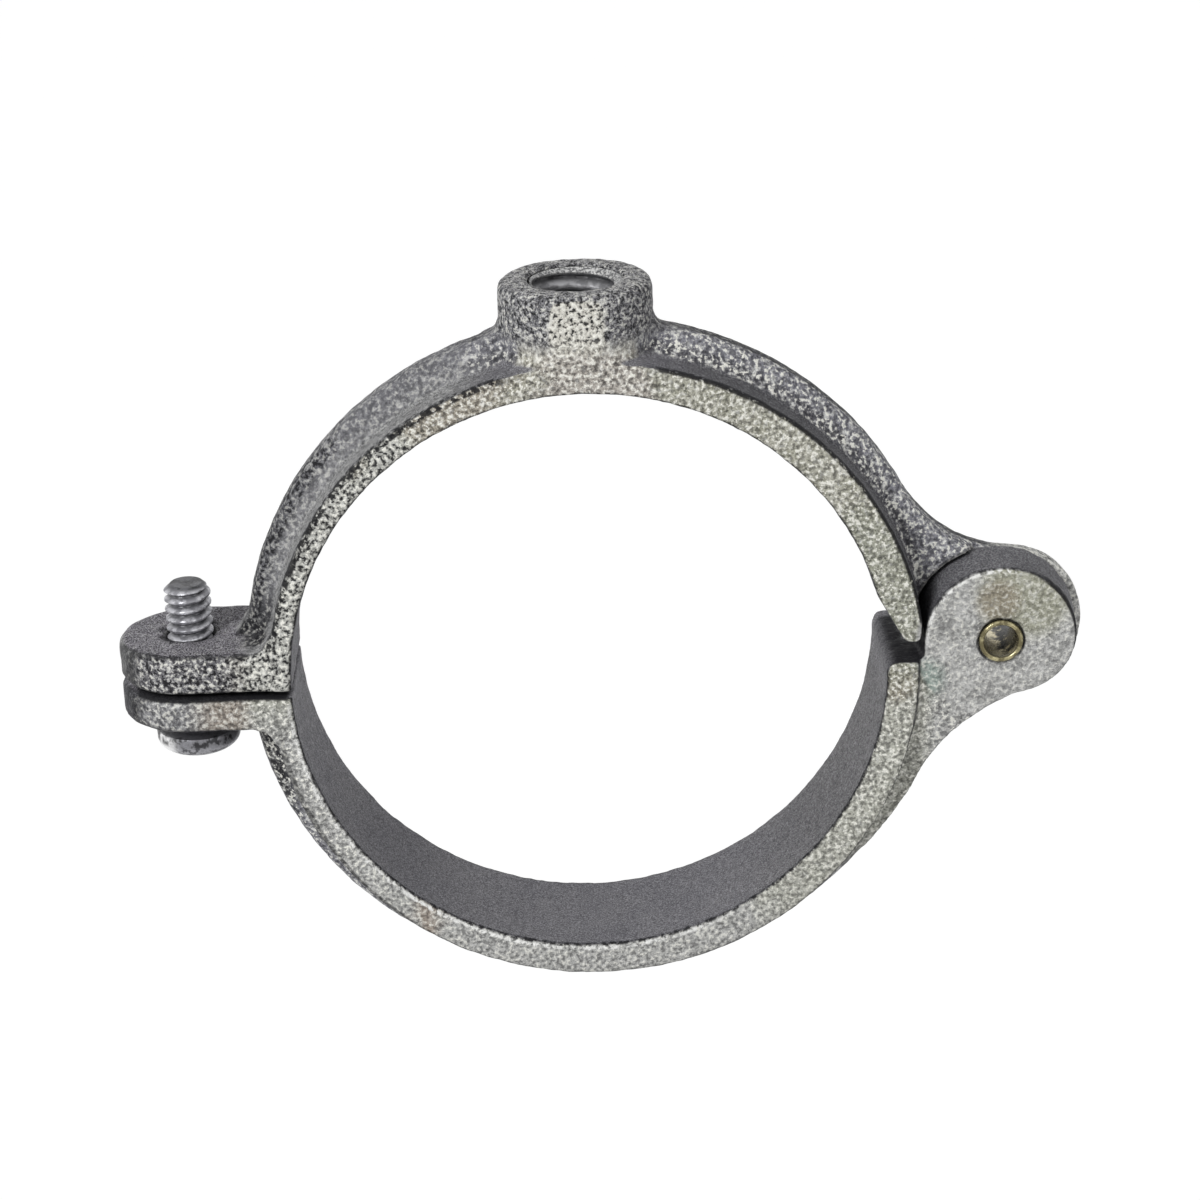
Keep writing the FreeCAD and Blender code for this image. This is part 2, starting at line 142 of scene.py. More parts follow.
# Colours of the grain and its specks, whose light ones are partly painted glints, of the dust, of the painted glints,
# and of the painted shade broken into pits
GRAIN_LIGHT_AND_GLINT, GRAIN_DARK = (0.93, 0.93, 0.90), (0.05, 0.05, 0.052)
SPECK_LIGHT_AND_GLINT, SPECK_DARK = (0.96, 0.95, 0.88), (0.02, 0.02, 0.022)
DUST_LIGHT, DUST_DARK = (0.6, 0.6, 0.62), (0.03, 0.03, 0.03)
GLINT, PAINTED_SHADE_PIT = (0.9, 0.9, 0.88), (0.015, 0.015, 0.017)

# Colours of the small steel pieces, with grime and painted shade in their deep places, a painted highlight and a
# painted shadow under the ear on the screw, and painted light and shade in the rivet's bore
GRIME_AND_DEEP_SHADE = (0.025, 0.025, 0.027)
CUT_STEEL, CUT_STEEL_SHADE = (0.42, 0.42, 0.435), (0.22, 0.22, 0.23)
MOUTH_DARK, MOUTH_LIGHT = (0.12, 0.12, 0.125), (0.55, 0.55, 0.54)
SCREW_ZINC, SCREW_ZINC_SHADE = (0.56, 0.56, 0.59), (0.26, 0.26, 0.28)
HEAD_SHADE, HEAD_LIGHT, UNDER_EAR_SHADOW = (0.10, 0.10, 0.11), (0.90, 0.90, 0.90), (0.03, 0.03, 0.032)
YELLOW_ZINC, YELLOW_ZINC_SHADE = (0.40, 0.36, 0.21), (0.15, 0.13, 0.07)
BORE_LIGHT, BORE_DARK = (0.80, 0.72, 0.50), (0.012, 0.011, 0.01)

# Studio
FLOOR_HEIGHT = -320
FLOOR_HALF = 4000
FLOOR_COLOUR = (0.8, 0.8, 0.8, 1)
FLOOR_GLOW = 1.12
FLOOR_GLOW_SHARE = 0.85
SKY_LIGHT = 0.38
WHITE_RAYS = ("Is Camera Ray", "Is Glossy Ray", "Is Transmission Ray")


def add_object(name, mesh):
    piece = bpy.data.objects.new(name, mesh)
    bpy.context.scene.collection.objects.link(piece)
    return piece


def mesh_from(name, vertices, faces):
    mesh = bpy.data.meshes.new(name)
    mesh.from_pydata([Vector(v) * MM for v in vertices], [], faces)
    mesh.validate()
    shape = bmesh.new()
    shape.from_mesh(mesh)
    bmesh.ops.remove_doubles(shape, verts=shape.verts, dist=1e-7)
    bmesh.ops.recalc_face_normals(shape, faces=shape.faces)
    shape.to_mesh(mesh)
    shape.free()
    return mesh


def apply_modifiers(piece):
    """The piece keeps the mesh that its modifiers make, and no modifier."""
    graph = bpy.context.evaluated_depsgraph_get()
    mesh = bpy.data.meshes.new_from_object(piece.evaluated_get(graph))
    piece.modifiers.clear()
    piece.data = mesh


def cut_away(piece, name, cutter):
    """Adds the modifier that cuts the cutter's shape out of the piece."""
    cut = piece.modifiers.new(name, "BOOLEAN")
    cut.operation = "DIFFERENCE"
    cut.solver = "EXACT"
    cut.object = cutter


def shade_smooth(piece, angle):
    """Smooth shading, with an edge kept sharp where its faces turn by more than the angle in degrees."""
    shape = bmesh.new()
    shape.from_mesh(piece.data)
    for face in shape.faces:
        face.smooth = True
    for edge in shape.edges:
        edge.smooth = len(edge.link_faces) != 2 or edge.calc_face_angle() < math.radians(angle)
    shape.to_mesh(piece.data)
    shape.free()


def grid_faces(rows, steps):
    """Faces between rings of vertices, each ring with the same number of steps."""
    faces = []
    for row in range(rows):
        for step in range(steps):
            after = (step + 1) % steps
            faces.append((row * steps + step, row * steps + after,
                          (row + 1) * steps + after, (row + 1) * steps + step))
    return faces


def revolve(profile, steps):
    """Vertices and faces of a profile of (radius, height) turned about Z."""
    vertices = []
    for radius, height in profile:
        for step in range(steps):
            turn = 2 * math.pi * step / steps
            vertices.append((radius * math.cos(turn), radius * math.sin(turn), height))
    return vertices, grid_faces(len(profile) - 1, steps)


def thread_height(turns):
    """Height of a thread's flank, from 0 at the root to 1 at the crest, at a number of turns along it."""
    place = abs((turns % 1.0) * 2 - 1)
    return min(1.0, max(0.0, (place - THREAD_ROOT_SHARE) / THREAD_FLANK_SHARE))


def thread_grid(crest, root, pitch, bottom, top, steps, edge):
    """A threaded wall between two heights. edge(height) gives the range that the radius is held in."""
    rows = round((top - bottom) / pitch * ROWS_PER_TURN)
    vertices = []
    for row in range(rows + 1):
        height = bottom + (top - bottom) * row / rows
        low, high = edge(height)
        for step in range(steps):
            turn = 2 * math.pi * step / steps
            radius = root + (crest - root) * thread_height(height / pitch - step / steps)
            radius = min(high, max(low, radius))
            vertices.append((radius * math.cos(turn), radius * math.sin(turn), height))
    return vertices, grid_faces(rows, steps)


def joined(parts):
    vertices = []
    faces = []
    for some_vertices, some_faces in parts:
        offset = len(vertices)
        vertices += some_vertices
        faces += [tuple(index + offset for index in face) for face in some_faces]
    return vertices, faces


def arc_points(centre, radius, start, end, count):
    places = []
    for index in range(count + 1):
        angle = math.radians(start + (end - start) * index / count)
        places.append((centre[0] + radius * math.cos(angle), centre[1] + radius * math.sin(angle)))
    return places


def screw_mesh():
    """Pan head screw with its thread, from its head below to its point above."""
    minor = SCREW_RADIUS - SCREW_THREAD_DEPTH
    neck_radius = SCREW_RADIUS - 0.1
    neck_top = SCREW_BEARING + 0.25

    def edge(height):
        if height <= neck_top:
            return neck_radius, SCREW_RADIUS
        return minor * 0.8, SCREW_RADIUS - max(0.0, height - (SCREW_TIP - SCREW_POINT)) * 1.1

    shank = thread_grid(SCREW_RADIUS, minor, SCREW_PITCH, SCREW_BEARING, SCREW_TIP, SCREW_SIDES, edge)
    end = revolve([(SCREW_RADIUS - 1.1 * SCREW_POINT, SCREW_TIP), (0.9, SCREW_TIP), (0.0, SCREW_TIP - 0.12)],
                  SCREW_SIDES)
    rim = SCREW_BEARING - SCREW_HEAD_RIM
    crown = [(0.0, SCREW_BEARING - SCREW_HEAD_HEIGHT)]
    crown_steps = 14
    for index in range(1, crown_steps + 1):
        turn = math.radians(90 * index / crown_steps)
        crown.append((SCREW_HEAD_RADIUS * math.sin(turn) ** 0.86,
                      rim - (SCREW_HEAD_HEIGHT - SCREW_HEAD_RIM) * math.cos(turn) ** 0.9))
    crown += [(SCREW_HEAD_RADIUS, SCREW_BEARING - 0.35), (SCREW_HEAD_RADIUS - 0.1, SCREW_BEARING - 0.12),
              (SCREW_HEAD_RADIUS - 0.35, SCREW_BEARING), (neck_radius, SCREW_BEARING)]
    return joined([shank, end, revolve(crown, SCREW_SIDES)])


def rod_thread_mesh():
    """The threaded wall of the rod's hole, with its back sunk into the boss."""
    top = BOSS_TOP - 0.25
    back_radius = ROD_ROOT_RADIUS + 0.35
    lead = 0.4

    def edge(height):
        opening = ROD_CREST_RADIUS + max(0.0, height - (BOSS_TOP - ROD_COUNTERSINK))
        mouth = ROD_CREST_RADIUS + max(0.0, ROD_HOLE_BOTTOM + lead - height)
        return max(opening, mouth), ROD_ROOT_RADIUS

    wall = thread_grid(ROD_CREST_RADIUS, ROD_ROOT_RADIUS, ROD_PITCH, ROD_HOLE_BOTTOM, top, ROD_SIDES, edge)
    back = revolve([(ROD_ROOT_RADIUS, top), (back_radius, top - 0.15), (back_radius, ROD_HOLE_BOTTOM),
                    (ROD_CREST_RADIUS + lead, ROD_HOLE_BOTTOM)], ROD_SIDES)
    return joined([wall, back])


def rivet_mesh():
    """Hollow rivet about its own axis along Z, from its front rim down to its back one."""
    inner = RIVET_BORE + 0.1
    lip = (RIVET_RIM - inner) / 2
    middle = (RIVET_RIM + inner) / 2
    profile = []
    for face, out in ((RIVET_FRONT, -1), (RIVET_BACK, 1)):
        base = face + out * (RIVET_RISE - 0.33)
        rolled = [(radius, base + out * rise) for radius, rise in arc_points((middle, 0), lip, -18, 205, 16)]
        end = [(RIVET_BARREL, face - out * 0.25)] + rolled + [(RIVET_BORE, face + out * (RIVET_RISE - 1.0))]
        profile += end if out < 0 else end[::-1]
    return revolve(profile + profile[:1], RIVET_SIDES)


def cast_texture(name, size):
    texture = bpy.data.textures.new(name, "CLOUDS")
    texture.noise_scale = size * MM
    texture.noise_depth = 1
    return texture


def upright_cylinder(name, radius, bottom, top):
    mesh = bpy.data.meshes.new(name)
    shape = bmesh.new()
    bmesh.ops.create_cone(shape, cap_ends=True, segments=96, radius1=radius * MM, radius2=radius * MM,
                          depth=(top - bottom) * MM, matrix=Matrix.Translation((0, 0, (top + bottom) / 2 * MM)))
    shape.to_mesh(mesh)
    shape.free()
    return add_object(name, mesh)


def casting(name, node, holes):
    """A casting with the CAD's form: finely remeshed, its corners eased and its skin uneven as sand leaves it.
    Each hole is a (radius, bottom, top) about the rod's axis."""
    piece = add_object(name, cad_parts[node].data.copy())
    shape = bmesh.new()
    shape.from_mesh(piece.data)
    bmesh.ops.remove_doubles(shape, verts=shape.verts, dist=1e-6)
    shape.to_mesh(piece.data)
    shape.free()
    piece.data.materials.clear()
    cutters = [upright_cylinder(f"{name}_cutter_{index}", *hole) for index, hole in enumerate(holes)]
    for cutter in cutters:
        cut_away(piece, "hole", cutter)
    remesh = piece.modifiers.new("remesh", "REMESH")
    remesh.mode = "VOXEL"
    remesh.voxel_size = VOXEL * MM
    ease = piece.modifiers.new("ease", "SMOOTH")
    ease.factor = 0.5
    ease.iterations = EASE_STEPS
    for size, depth in SKIN_WAVES:
        skin = piece.modifiers.new(f"skin_{size}", "DISPLACE")
        skin.texture = cast_texture(f"{name}_{size}", size)
        skin.texture_coords = "LOCAL"
        skin.mid_level = SKIN_INWARD
        skin.strength = depth * MM
    apply_modifiers(piece)
    for cutter in cutters:
        bpy.data.objects.remove(cutter)
    for polygon in piece.data.polygons:
        polygon.use_smooth = True
    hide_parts(node)
    return piece


def keep_inside(piece):
    """Moves vertices that the uneven skin takes past the CAD box back to it."""
    places = np.empty(len(piece.data.vertices) * 3)
    piece.data.vertices.foreach_get("co", places)
    low, high = (np.array(corner) for corner in cad_bounds)
    piece.data.vertices.foreach_set("co", np.clip(places.reshape(-1, 3), low, high).ravel())
    piece.data.update()


class Nodes:
    """Short names for building one material's nodes. Places are in millimetres."""

    def __init__(self, name):
        self.material = bpy.data.materials.new(name)
        self.material.use_nodes = True
        self.tree = self.material.node_tree
        self.shader = self.tree.nodes["Principled BSDF"]
        self.output = self.tree.nodes["Material Output"]
        self.place = self.tree.nodes.new("ShaderNodeTexCoord").outputs["Object"]
        self.tone = None

    def set(self, name, value):
        self.shader.inputs[name].default_value = value

    def feed(self, socket, value):
        if isinstance(value, bpy.types.NodeSocket):
            self.tree.links.new(value, socket)
        else:
            socket.default_value = value

    def noise(self, size, detail=2.0, roughness=0.5, shift=0.0):
        """Noise with grains of about this size, from 0 to 1."""
        node = self.tree.nodes.new("ShaderNodeTexNoise")
        move = self.tree.nodes.new("ShaderNodeMapping")
        move.inputs["Location"].default_value = (shift, shift * 0.7, shift * 1.3)
        self.tree.links.new(self.place, move.inputs["Vector"])
        self.tree.links.new(move.outputs[0], node.inputs["Vector"])
        node.inputs["Scale"].default_value = 1 / (size * MM)
        node.inputs["Detail"].default_value = detail
        node.inputs["Roughness"].default_value = roughness
        return node.outputs["Fac"]

    def ramp(self, value, low, high, start=0.0, end=1.0):
        """A soft step from start, where the value is low, to end, where it is high."""
        node = self.tree.nodes.new("ShaderNodeMapRange")
        node.interpolation_type = "SMOOTHSTEP"
        for name, number in (("Value", value), ("From Min", low), ("From Max", high),
                             ("To Min", start), ("To Max", end)):
            self.feed(node.inputs[name], number)
        return node.outputs[0]

    def span(self, value, start, end, soft):
        """1 between two values, fading to 0 over a soft width at both."""
        return self.times(self.ramp(value, start - soft, start + soft), self.ramp(value, end + soft, end - soft))

    def math(self, operation, first, second=0.0):
        node = self.tree.nodes.new("ShaderNodeMath")
        node.operation = operation
        self.feed(node.inputs[0], first)
        self.feed(node.inputs[1], second)
        return node.outputs[0]

    def folded(self, operation, values):
        total = values[0]
        for value in values[1:]:
            total = self.math(operation, total, value)
        return total

    def times(self, *values):
        return self.folded("MULTIPLY", values)

    def plus(self, *values):
        return self.folded("ADD", values)

    def most(self, *values):
        return self.folded("MAXIMUM", values)

    def minus(self, value, other):
        return self.math("SUBTRACT", value, other)

    def less(self, share):
        """What a share leaves of 1."""
        return self.minus(1.0, share)

    def size_of(self, value):
        return self.math("ABSOLUTE", value)

    def length(self, first, second):
        return self.math("SQRT", self.plus(self.times(first, first), self.times(second, second)))

    def mix(self, share, first, second):
        """A blend of two colours, or of two numbers."""
        node = self.tree.nodes.new("ShaderNodeMix")
        colours = any(isinstance(value, tuple) or getattr(value, "type", "") == "RGBA" for value in (first, second))
        node.data_type = "RGBA" if colours else "FLOAT"
        places = (6, 7) if colours else (2, 3)
        self.feed(node.inputs[0], share)
        for place, value in zip(places, (first, second)):
            self.feed(node.inputs[place], (*value, 1.0) if isinstance(value, tuple) else value)
        return node.outputs[2 if colours else 0]

    def layered(self, colour, *layers):
        """A colour with each layer's own colour laid over it by that layer's share."""
        for share, over in layers:
            colour = self.mix(share, colour, over)
        return colour

    def lay(self, share, colour):
        """Lays a colour over the material's tone."""
        self.tone = self.mix(share, self.tone, colour)

    def bump(self, height, distance, strength):
        node = self.tree.nodes.new("ShaderNodeBump")
        node.inputs["Strength"].default_value = strength
        node.inputs["Distance"].default_value = distance * MM
        self.feed(node.inputs["Height"], height)
        return node.outputs[0]

    def axis(self, source, name):
        """One coordinate of a vector."""
        split = self.tree.nodes.new("ShaderNodeSeparateXYZ")
        self.tree.links.new(source, split.inputs[0])
        return split.outputs[name]

    def facing(self, name):
        """How far the surface looks along an axis of the frame, from -1 to 1."""
        return self.axis(self.tree.nodes.new("ShaderNodeNewGeometry").outputs["Normal"], name)

    def at(self, name):
        """Place along an axis of the frame."""
        return self.math("DIVIDE", self.axis(self.place, name), MM)

    def away_from(self, x, z):
        """Distance from a line along the pipe."""
        return self.length(self.minus(self.at("X"), x), self.minus(self.at("Z"), z))

    def finish(self, metal, roughness, normal):
        self.set("Metallic", metal)
        self.feed(self.shader.inputs["Base Color"], self.tone)
        self.feed(self.shader.inputs["Roughness"], roughness)
        self.feed(self.shader.inputs["Normal"], normal)
        return self.material


class CastIron(Nodes):
    """Galvanised malleable iron. Coarse sand grain on the flat faces, its light specks partly painted glints,
    smoother zinc round the ring, painted shade broken into black pits along edges and in the gaps between parts,
    painted light and shade on the rib, the band's outside and the boss, and a tone that changes round the ring as the
    zinc ran and weathered.
    Left, right, front and upper are as seen in the photograph, and shares run from 0 to 1."""

    def __init__(self):
        super().__init__("galvanised_casting")
        self.measure()
        self.find_parts()
        self.find_surfaces()
        self.find_stains()
        self.tone = self.mix(self.rib, self.round_tone(), self.rib_tone())
        self.lay(self.face, self.face_tone())
        self.add_grain()
        self.add_specks()
        self.add_dust()
        self.add_glints()
        # Painted shade along edges and in the gaps between parts, broken into black pits
        self.lay(self.times(self.all_painted_shade(), PAINTED_SHADE_SHARE), PAINTED_SHADE_PIT)

    def measure(self):
        """Places, distances, directions and noises that the rest is worked out from."""
        self.x, self.y, self.z = self.at("X"), self.at("Y"), self.at("Z")
        self.from_middle = self.size_of(self.x)
        self.depth = self.size_of(self.y)
        self.along = self.size_of(self.facing("Y"))
        self.out = self.away_from(UPPER_CENTRE_X, 0.0)
        self.inside = self.away_from(0.0, 0.0)
        self.from_pin = self.away_from(PIN_X, PIN_Z)
        self.broad = self.noise(BROAD_SIZE, 3.0, 0.6)
        self.patch = self.noise(PATCH_SIZE, 3.0, 0.6, shift=0.4)
        self.grain = self.noise(GRAIN_SIZE, 4.0, 0.66)
        self.sand = self.noise(SAND_SIZE, 3.0, 0.55, shift=0.6)
        self.crumbs = self.noise(CRUMB_SIZE, 2.0, 0.6, shift=0.9)
        self.fine = self.noise(FINE_SIZE, 2.0, 0.55, shift=0.2)
        degrees = self.times(self.math("ARCTAN2", self.z, self.x), DEGREES_IN_RADIAN)
        self.turn = self.plus(degrees, self.ramp(self.broad, 0.3, 0.7, -TONE_WAVER, TONE_WAVER))

    def find_parts(self):
        """Shares that tell the castings' parts apart by their place."""
        self.boss = self.ramp(self.z, 34.0, 36.5)
        self.ear = self.ramp(self.x, -34.0, -36.5)
        self.low = self.ramp(self.z, 2.0, -6.0)
        self.bottom = self.times(self.ramp(self.z, -16.0, -27.0), self.low)
        self.left = self.ramp(self.turn, 98.0, 122.0)
        self.right = self.less(self.left)
        self.web = self.times(self.ramp(self.x, 24.0, 30.0), self.ramp(self.z, 1.0, -3.0))
        self.disc = self.times(self.ramp(self.from_pin, 9.2, 8.6), self.ramp(self.y, -0.6, -1.0))
        self.off_boss = self.less(self.boss)
        self.beside_boss = self.most(self.ramp(self.from_middle, 6.0, 8.5), self.ramp(self.z, 33.0, 31.5))
        self.high = self.ramp(self.out, 34.6, 35.4)
        self.near_face = self.ramp(self.depth, 6.3, 6.8)

    def find_surfaces(self):
        """Shares for the flat faces, the rib, the band's round outside and its left part, which is painted lighter as
        if lit, the tops and the pitted places.
        """
        self.side = self.mix(self.boss, self.ramp(self.along, 0.42, 0.72), self.ramp(self.along, 0.92, 0.985))
        self.cover = self.most(self.ramp(self.depth, 4.6, 5.6), self.web, self.disc)
        self.face = self.times(self.side, self.cover)
        proud = self.times(self.ramp(self.out, 33.9, 34.5), self.less(self.ramp(self.z, -1.0, -3.0)),
                           self.less(self.most(self.ear, self.boss)))
        self.rib = self.times(self.most(self.side, proud), self.less(self.cover))
        self.outer = self.times(self.ramp(self.out, 32.4, 33.2), self.less(self.low),
                                self.ramp(self.x, 35.0, 33.0), self.ramp(self.from_middle, 6.0, 14.0))
        self.lit_left_outer = self.times(self.outer, self.left)
        self.right_seat = self.times(self.ramp(self.x, 12.0, 26.0), self.low)
        self.top = self.times(self.ramp(self.facing("Z"), 0.75, 0.92), self.most(self.ear, self.boss))
        under_boss = self.times(self.ramp(self.from_middle, 11.0, 6.0), self.ramp(self.z, 29.0, 31.5))
        self.pitted = self.most(self.ramp(self.turn, 100.0, 135.0),
                                self.times(self.ear, self.ramp(self.z, -1.2, 0.0, 0.45, 1.0)),
                                self.times(under_boss, 0.6))
        self.tip = self.times(self.high, self.ramp(self.turn, 122.0, 140.0))

    def find_stains(self):
        """Stains of the hinge ear and of the lower half's end, and where the coat's grain is calm."""
        self.tan = self.times(self.ramp(self.away_from(PIN_X - 0.3, PIN_Z + 4.4), 3.0, 1.4), self.disc)
        self.olive = self.times(self.ramp(self.away_from(PIN_X + 2.5, PIN_Z + 5.0), 6.0, 3.5), self.disc)
        self.verdigris = self.times(self.ramp(self.away_from(34.4, -1.8), 3.0, 1.0), 0.8)
        self.end_spot = self.times(self.ramp(self.away_from(31.5, -1.5), 3.0, 1.2), 0.8)
        self.calm = self.most(self.times(self.bottom, 0.6), self.times(self.tan, 0.85), self.times(self.olive, 0.5))

    def face_tone(self):
        """Colour of the flat faces: the two half rings, the hinge ear, the closing ears and the boss's front, which
        is painted brighter as a highlight.
        """
        upper = self.layered(
            self.mix(self.ramp(self.patch, 0.38, 0.66), CREAM, DULL_CREAM),
            (self.times(self.span(self.turn, 80.0, 98.0, 5.0), self.mix(self.boss, 0.8, 0.0)), PALE_ROSE),
            (self.span(self.turn, 104.0, 128.0, 5.0), BUFF),
            (self.ramp(self.turn, 124.0, 134.0), WARM_GREY),
            (self.times(self.ramp(self.turn, 34.0, 26.0), 0.7), MOSS))
        lower = self.layered(
            self.mix(self.ramp(self.turn, -48.0, -62.0), LOWER_RIGHT, LOWER_REST),
            (self.times(self.span(self.turn, -129.0, -120.0, 4.0), 0.8), RUST_SPOT),
            (self.end_spot, END_SPOT),
            (self.ramp(self.patch, 0.35, 0.65, 0.0, 0.35), LOWER_SHADE))
        hinge = self.layered(
            self.mix(self.ramp(self.patch, 0.36, 0.62), HINGE_LIGHT, HINGE_SHADE),
            (self.olive, OLIVE), (self.times(self.tan, 0.8), TAN), (self.verdigris, VERDIGRIS))
        lower_ear = self.mix(self.ramp(self.x, -42.0, -38.0), LOWER_EAR_END, LOWER_EAR_ROOT)
        upper_ear = self.mix(self.ramp(self.x, -38.0, -35.0), UPPER_EAR_END, UPPER_EAR_ROOT)
        return self.layered(
            self.mix(self.low, upper, lower),
            (self.most(self.disc, self.times(self.ramp(self.x, 34.0, 36.0), self.low)), hinge),
            (self.ear, self.mix(self.ramp(self.z, -0.9, -0.3), lower_ear, upper_ear)),
            (self.boss, BOSS_FRONT_PAINTED_LIGHT))

    def rib_tone(self):
        # Painted light and shade: the rib's flank is lighter on the left, where the lamp falls on it, and darker on
        # the right, and its foot by the ear is painted dark as shade
        left_crest = self.mix(self.ramp(self.turn, 130.0, 150.0), LEFT_CREST, LEFT_CREST_FOOT)
        foot = self.times(self.ramp(self.x, -30.5, -32.5), self.ramp(self.z, 11.0, 5.0))
        return self.layered(
            self.mix(self.high, RIGHT_FLANK_PAINTED_SHADE, RIGHT_CREST),
            (self.left, self.mix(self.high, LEFT_FLANK_PAINTED_LIGHT, left_crest)),
            (self.ramp(self.patch, 0.35, 0.65, 0.0, 0.4), FLANK_SHADE),
            (self.ramp(self.x, 40.5, 43.0), REAR_EAR),
            (foot, RIB_FOOT_PAINTED_SHADE))

    def round_tone(self):
        """Colour of the seat, the band's outside, the boss's sides and the tops of ear and boss. The band's outside
        is painted dark as shade on the right and lighter as if lit on the left, and the boss's left side is painted
        lighter as if lit.
        """
        return self.layered(
            self.mix(self.ramp(self.broad, 0.35, 0.65), ZINC, LIGHT_ZINC),
            # Painted shade on the band's outside, and painted light on its left part
            (self.outer, OUTER_RIGHT_PAINTED_SHADE),
            (self.times(self.lit_left_outer, self.off_boss), OUTER_LEFT_PAINTED_LIGHT),
            # Painted light on the boss's side that faces left, toward the lamp
            (self.times(self.boss, self.ramp(self.facing("X"), 0.35, -0.35)), BOSS_LEFT_PAINTED_LIGHT),
            (self.times(self.ramp(self.from_pin, 9.2, 8.8), 0.6), HINGE_ROUND),
            (self.times(self.right_seat, 0.45), SEAT_RIGHT),
            (self.top, self.mix(self.boss, EAR_TOP, BOSS_RIM)))

    def add_grain(self):
        """Natural grain, with its own depth of dark and of light on each surface; its light grains are partly painted
        glints, most of all on the upper left face.
        """
        face_dark = self.mix(self.pitted, self.mix(self.most(self.low, self.disc), 0.7, 0.45), 1.0)
        face_dark = self.mix(self.calm, face_dark, 0.25)
        face_light = self.mix(self.span(self.turn, 100.0, 128.0, 5.0), self.mix(self.low, 0.85, 0.6), 1.0)
        face_light = self.mix(self.most(self.times(self.disc, 0.6), self.calm), face_light, 0.25)
        half_lit_left_outer = self.times(self.lit_left_outer, 0.5)
        dark = self.mix(self.most(self.boss, self.times(self.right_seat, 0.8), half_lit_left_outer), 0.2, 0.9)
        dark = self.mix(self.rib, dark, self.mix(self.left, 0.75, self.mix(self.tip, 0.35, 1.0)))
        dark = self.mix(self.face, dark, face_dark)
        light = self.mix(self.most(self.boss, half_lit_left_outer), 0.08, 0.8)
        light = self.mix(self.rib, light, self.mix(self.left, 0.95, 0.35))
        light = self.mix(self.face, light, face_light)
        self.lay(self.times(self.ramp(self.grain, 0.48, 0.70), light, GRAIN_SHARE), GRAIN_LIGHT_AND_GLINT)
        self.lay(self.times(self.ramp(self.grain, 0.50, 0.34), dark, GRAIN_SHARE), GRAIN_DARK)

    def add_specks(self):
        """Sand-sized cream and black specks; the cream specks are partly painted glints."""
        coarse = self.most(self.times(self.face, self.pitted), self.times(self.rib, self.tip), self.boss)
        cream = self.most(self.face, self.times(self.rib, self.right))
        left_rib = self.times(self.rib, self.left)
        closing_ear = self.times(self.ear, self.ramp(self.x, -33.0, -35.0))
        cream_light = self.times(cream, self.mix(self.calm, self.mix(self.disc, 0.85, 0.5), 0.4),
                                 self.mix(closing_ear, 1.0, 0.6))
        light = self.most(self.mix(self.rib, self.times(coarse, 0.7), self.times(coarse, 0.3)), cream_light,
                          self.times(left_rib, 0.3))
        dark = self.most(self.times(coarse, 0.95), self.times(cream, self.mix(self.disc, 0.5, 0.3)),
                         self.times(self.most(self.lit_left_outer, left_rib), 0.4))
        self.lay(self.times(self.ramp(self.sand, 0.53, 0.62), light), SPECK_LIGHT_AND_GLINT)
        self.lay(self.times(self.ramp(self.sand, 0.48, 0.40), dark), SPECK_DARK)

    def add_dust(self):
        """Fine grain of the smooth rounds, the seat and the tops."""
        share = self.times(self.most(self.top, 0.5), self.less(self.most(self.face, self.rib)))
        self.lay(self.times(self.ramp(self.fine, 0.5, 0.64), self.times(share, 0.6)), DUST_LIGHT)
        self.lay(self.times(self.ramp(self.fine, 0.5, 0.37), share), DUST_DARK)

    def add_glints(self):
        """Painted glints, broken into bright crumbs, on the lower seat's edge and on the hinge ear's upper rim."""
        seat_edge = self.times(self.span(self.inside, 30.75, 31.15, 0.15), self.near_face, self.low,
                               self.ramp(self.turn, -60.0, -75.0))
        rim = self.times(self.span(self.from_pin, 7.45, 7.85, 0.15), self.disc, self.ramp(self.y, -6.0, -6.3),
                         self.ramp(self.x, 45.5, 43.0), self.ramp(self.z, 1.0, 3.0))
        self.lay(self.times(self.most(seat_edge, rim), self.ramp(self.crumbs, 0.42, 0.56)), GLINT)

    def edge_painted_shade(self):
        """Painted shade broken into rows of black pits, where a flat face meets the round, and along the rib's far
        edge.
        """
        row_start = self.ramp(self.turn, 90.0, 110.0, 33.2, 32.9)
        whole = self.ramp(self.turn, 95.0, 110.0, 0.09, 0.0)
        outer_row = self.times(self.near_face, self.span(self.minus(self.out, row_start), 0.12, 1.1, 0.12),
                               self.ramp(self.z, 3.8, 5.2), self.beside_boss,
                               self.ramp(self.minus(self.crumbs, whole), 0.60, 0.48))
        seat_row = self.times(self.ramp(self.inside, 30.9, 30.65), self.ramp(self.depth, 6.75, 7.05),
                              self.ramp(self.crumbs, 0.56, 0.46))
        under = self.minus(self.away_from(LOWER_CENTRE_X, LOWER_CENTRE_Z),
                           self.ramp(self.turn, -110.0, -160.0, 33.0, 32.55))
        under_row = self.times(self.near_face, self.ramp(under, -0.05, 0.15), self.low,
                               self.ramp(self.x, 31.0, 27.0), self.ramp(self.x, -33.0, -31.0),
                               self.ramp(self.crumbs, 0.7, 0.4, 0.35, 0.8))
        corners = self.times(self.span(self.along, 0.2, 0.72, 0.12), self.most(self.cover, self.ear),
                             self.beside_boss, self.ramp(self.crumbs, 0.7, 0.4, 0.35, 0.85))
        far_side = self.minus(self.y, self.ramp(self.x, 24.0, 30.0, 0.0, 0.9))
        crest = self.times(self.span(far_side, -0.8, 1.6, 0.2), self.ramp(self.out, 35.3, 35.6), self.right,
                           self.ramp(self.x, 44.0, 40.0), self.less(self.low), self.off_boss,
                           self.ramp(self.crumbs, 0.65, 0.4, 0.55, 0.95))
        return self.most(outer_row, seat_row, under_row, corners, crest)

